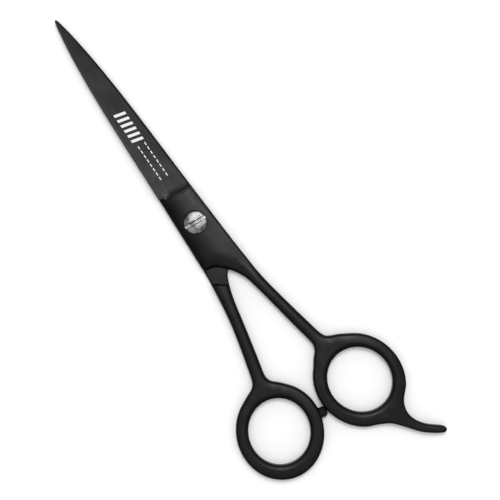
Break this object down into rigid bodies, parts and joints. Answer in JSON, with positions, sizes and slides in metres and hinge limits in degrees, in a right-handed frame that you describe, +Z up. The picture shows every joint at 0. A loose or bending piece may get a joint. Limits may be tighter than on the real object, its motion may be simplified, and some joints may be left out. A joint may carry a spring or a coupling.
{
  "type": "hair cutting shears",
  "caption": "Hair cutting shears in black coated steel: crossing blades on a slotted tension screw, oval rings, finger rest and rubber bumper.",
  "frame": {"origin": "where the pivot axis meets the plane that the closed shears lie on", "axes": "+X along the closed blades to their tips, +Y to the thumb ring, +Z up through the pivot to the slotted screw head"},
  "size_m": [0.1799, 0.0593, 0.0054],
  "materials": {
    "coated_steel": "satin black coating",
    "bright_steel": "turned and brushed",
    "white_plastic": "plain moulded nylon",
    "black_rubber": "soft matte"
  },
  "bodies": {
    "finger_side": {"finger_half": "coated_steel", "pivot_bushing": "white_plastic", "spring_washer": "bright_steel", "glide_washer": "white_plastic"},
    "thumb_side": {"thumb_half": "coated_steel", "back_nut": "bright_steel", "bumper": "black_rubber"},
    "screw": {"pivot_screw": "bright_steel"}
  },
  "joints": [
    {"name": "blade_pivot", "type": "hinge", "parent": "finger_side", "child": "thumb_side", "pos_m": [0, 0, 0], "axis": [0, 0, -1], "range_deg": [0, 90]},
    {"name": "tension_turn", "type": "hinge", "parent": "thumb_side", "child": "screw", "pos_m": [0, 0, 0], "axis": [0, 0, 1], "range_deg": [-90, 90]}
  ]
}
